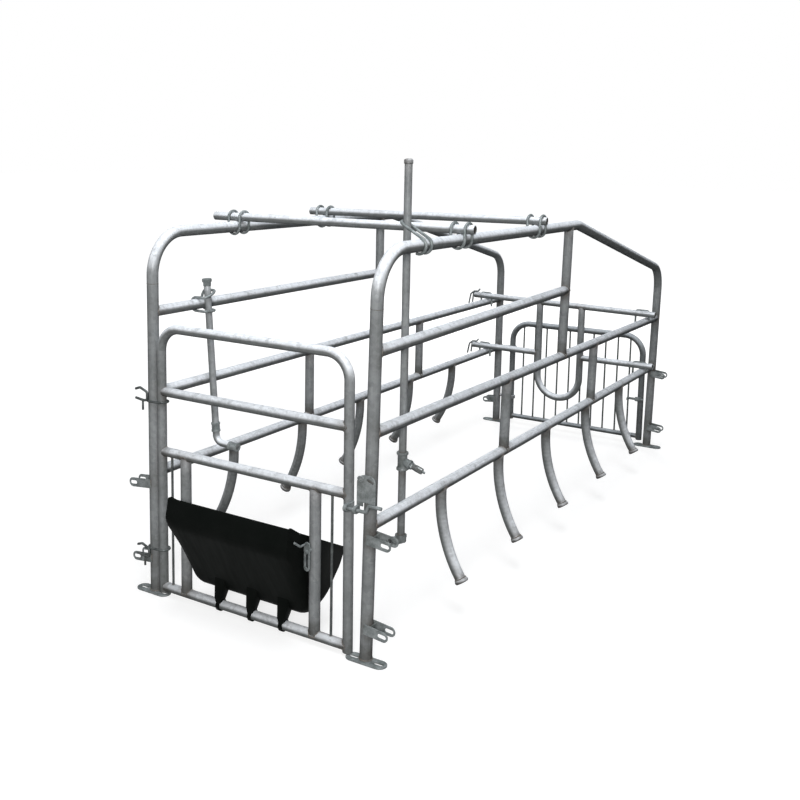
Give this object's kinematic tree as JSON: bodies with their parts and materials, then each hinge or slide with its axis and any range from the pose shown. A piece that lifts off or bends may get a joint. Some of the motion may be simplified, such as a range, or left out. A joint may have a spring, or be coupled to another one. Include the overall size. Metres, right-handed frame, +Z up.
{
  "type": "pig stall",
  "caption": "Farrowing crate of galvanised tube with curved piglet guards, a front gate with a tipping trough, a rear gate, a sliding restraint and drinkers.",
  "frame": {"origin": "on the floor under the middle of the whole stall's box", "axes": "+Y from the front gate with the trough to the rear gate, +X towards the side with the tall water pipe, +Z up"},
  "size_m": [0.8816, 2.3696, 1.227],
  "materials": {
    "cross_clamp_front_left": "bright zinc plated",
    "cross_clamp_front_right": "bright zinc plated",
    "cross_clamp_rear_left": "bright zinc plated",
    "cross_clamp_rear_right": "bright zinc plated",
    "crossbar_front": "hot-dip galvanised, satin with bright patches",
    "crossbar_rear": "hot-dip galvanised, satin with bright patches",
    "drinker_valve_pin": "bright zinc plated",
    "foot_front_left": "hot-dip galvanised, satin with bright patches",
    "foot_front_right": "hot-dip galvanised, satin with bright patches",
    "foot_rear_left": "hot-dip galvanised, satin with bright patches",
    "foot_rear_right": "hot-dip galvanised, satin with bright patches",
    "front_gate_grille": "hot-dip galvanised, satin with bright patches",
    "front_gate_hinge_lower": "bright zinc plated",
    "front_gate_hinge_upper": "bright zinc plated",
    "front_gate_hoop": "hot-dip galvanised, satin with bright patches",
    "front_gate_lower_rail": "hot-dip galvanised, satin with bright patches",
    "front_gate_upper_rail": "hot-dip galvanised, satin with bright patches",
    "front_latch_bolt": "bright zinc plated",
    "front_latch_plate": "bright zinc plated",
    "left_drinker": "hot-dip galvanised, satin with bright patches",
    "left_finger_1": "hot-dip galvanised, satin with bright patches",
    "left_finger_2": "hot-dip galvanised, satin with bright patches",
    "left_finger_3": "hot-dip galvanised, satin with bright patches",
    "left_finger_4": "hot-dip galvanised, satin with bright patches",
    "left_finger_5": "hot-dip galvanised, satin with bright patches",
    "left_high_rail": "hot-dip galvanised, satin with bright patches",
    "left_hoop": "hot-dip galvanised, satin with bright patches",
    "left_long_strut": "hot-dip galvanised, satin with bright patches",
    "left_low_rail": "hot-dip galvanised, satin with bright patches",
    "left_middle_rail": "hot-dip galvanised, satin with bright patches",
    "left_short_strut_1": "hot-dip galvanised, satin with bright patches",
    "left_short_strut_2": "hot-dip galvanised, satin with bright patches",
    "lug_front_left_lower": "bright zinc plated",
    "lug_front_left_upper": "bright zinc plated",
    "lug_front_right_lower": "bright zinc plated",
    "lug_front_right_upper": "bright zinc plated",
    "lug_rear_left_lower": "bright zinc plated",
    "lug_rear_right_lower": "bright zinc plated",
    "lug_rear_right_upper": "bright zinc plated",
    "rear_gate": "hot-dip galvanised, satin with bright patches",
    "rear_gate_hinge_lower": "hot-dip galvanised, satin with bright patches",
    "rear_gate_hinge_upper": "hot-dip galvanised, satin with bright patches",
    "rear_latch_bolt": "bright zinc plated",
    "rear_restraint": "hot-dip galvanised, satin with bright patches",
    "right_drinker_loop": "bright zinc plated",
    "right_drinker_pipe": "hot-dip galvanised, satin with bright patches",
    "right_finger_1": "hot-dip galvanised, satin with bright patches",
    "right_finger_2": "hot-dip galvanised, satin with bright patches",
    "right_finger_3": "hot-dip galvanised, satin with bright patches",
    "right_finger_4": "hot-dip galvanised, satin with bright patches",
    "right_finger_5": "hot-dip galvanised, satin with bright patches",
    "right_high_rail": "hot-dip galvanised, satin with bright patches",
    "right_hoop": "hot-dip galvanised, satin with bright patches",
    "right_long_strut": "hot-dip galvanised, satin with bright patches",
    "right_low_rail": "hot-dip galvanised, satin with bright patches",
    "right_middle_rail": "hot-dip galvanised, satin with bright patches",
    "right_short_strut_1": "hot-dip galvanised, satin with bright patches",
    "right_short_strut_2": "hot-dip galvanised, satin with bright patches",
    "trough": "moulded, slightly glossy black",
    "trough_holder": "bright zinc plated"
  },
  "bodies": {
    "stall_frame": {"cross_clamp_front_left": "cross_clamp_front_left", "cross_clamp_front_right": "cross_clamp_front_right", "cross_clamp_rear_left": "cross_clamp_rear_left", "cross_clamp_rear_right": "cross_clamp_rear_right", "crossbar_front": "crossbar_front", "crossbar_rear": "crossbar_rear", "foot_front_left": "foot_front_left", "foot_front_right": "foot_front_right", "foot_rear_left": "foot_rear_left", "foot_rear_right": "foot_rear_right", "front_gate_hinge_lower": "front_gate_hinge_lower", "front_gate_hinge_upper": "front_gate_hinge_upper", "front_latch_plate": "front_latch_plate", "left_drinker": "left_drinker", "left_finger_1": "left_finger_1", "left_finger_2": "left_finger_2", "left_finger_3": "left_finger_3", "left_finger_4": "left_finger_4", "left_finger_5": "left_finger_5", "left_high_rail": "left_high_rail", "left_hoop": "left_hoop", "left_long_strut": "left_long_strut", "left_low_rail": "left_low_rail", "left_middle_rail": "left_middle_rail", "left_short_strut_1": "left_short_strut_1", "left_short_strut_2": "left_short_strut_2", "lug_front_left_lower": "lug_front_left_lower", "lug_front_left_upper": "lug_front_left_upper", "lug_front_right_lower": "lug_front_right_lower", "lug_front_right_upper": "lug_front_right_upper", "lug_rear_left_lower": "lug_rear_left_lower", "lug_rear_right_lower": "lug_rear_right_lower", "lug_rear_right_upper": "lug_rear_right_upper", "rear_gate_hinge_lower": "rear_gate_hinge_lower", "rear_gate_hinge_upper": "rear_gate_hinge_upper", "right_drinker_loop": "right_drinker_loop", "right_finger_1": "right_finger_1", "right_finger_2": "right_finger_2", "right_finger_3": "right_finger_3", "right_finger_4": "right_finger_4", "right_finger_5": "right_finger_5", "right_high_rail": "right_high_rail", "right_hoop": "right_hoop", "right_long_strut": "right_long_strut", "right_low_rail": "right_low_rail", "right_middle_rail": "right_middle_rail", "right_short_strut_1": "right_short_strut_1", "right_short_strut_2": "right_short_strut_2"},
    "front_gate": {"front_gate_hoop": "front_gate_hoop", "front_gate_upper_rail": "front_gate_upper_rail", "front_gate_lower_rail": "front_gate_lower_rail", "front_gate_grille": "front_gate_grille"},
    "front_latch": {"front_latch_bolt": "front_latch_bolt"},
    "feed_trough": {"trough": "trough"},
    "trough_catch": {"trough_holder": "trough_holder"},
    "rear_door": {"rear_gate": "rear_gate"},
    "rear_latch": {"rear_latch_bolt": "rear_latch_bolt"},
    "restraint": {"rear_restraint": "rear_restraint"},
    "right_drinker": {"right_drinker_pipe": "right_drinker_pipe"},
    "drinker_valve": {"drinker_valve_pin": "drinker_valve_pin"}
  },
  "joints": [
    {"name": "front_gate_swing", "type": "hinge", "parent": "stall_frame", "child": "front_gate", "pos_m": [-0.3235, -1.0845, 0.38], "axis": [0, 0, -1], "range_deg": [0, 97]},
    {"name": "front_latch_slide", "type": "slide", "parent": "stall_frame", "child": "front_latch", "axis": [-1, 0, 0], "range_m": [0, 0.0175]},
    {"name": "trough_tip", "type": "hinge", "parent": "front_gate", "child": "feed_trough", "pos_m": [-0.003, -1.0845, 0.0225], "axis": [1, 0, 0], "range_deg": [0, 70]},
    {"name": "trough_catch_lift", "type": "slide", "parent": "front_gate", "child": "trough_catch", "axis": [0, 0, 1], "range_m": [0, 0.032]},
    {"name": "rear_gate_swing", "type": "hinge", "parent": "stall_frame", "child": "rear_door", "pos_m": [-0.282, 1.1655, 0.24], "axis": [0, 0, 1], "range_deg": [0, 110]},
    {"name": "rear_latch_slide", "type": "slide", "parent": "rear_door", "child": "rear_latch", "axis": [1, 0, 0], "range_m": [0, 0.022]},
    {"name": "restraint_slide", "type": "slide", "parent": "stall_frame", "child": "restraint", "axis": [0, 1, 0], "range_m": [-0.5, 0.06]},
    {"name": "right_drinker_height", "type": "slide", "parent": "stall_frame", "child": "right_drinker", "axis": [0, 0, 1], "range_m": [-0.06, 0.08]},
    {"name": "drinker_valve_press", "type": "slide", "parent": "right_drinker", "child": "drinker_valve", "axis": [-0.9848, 0, 0.1736], "range_m": [0, 0.004], "stiffness_N_per_m": 600}
  ]
}
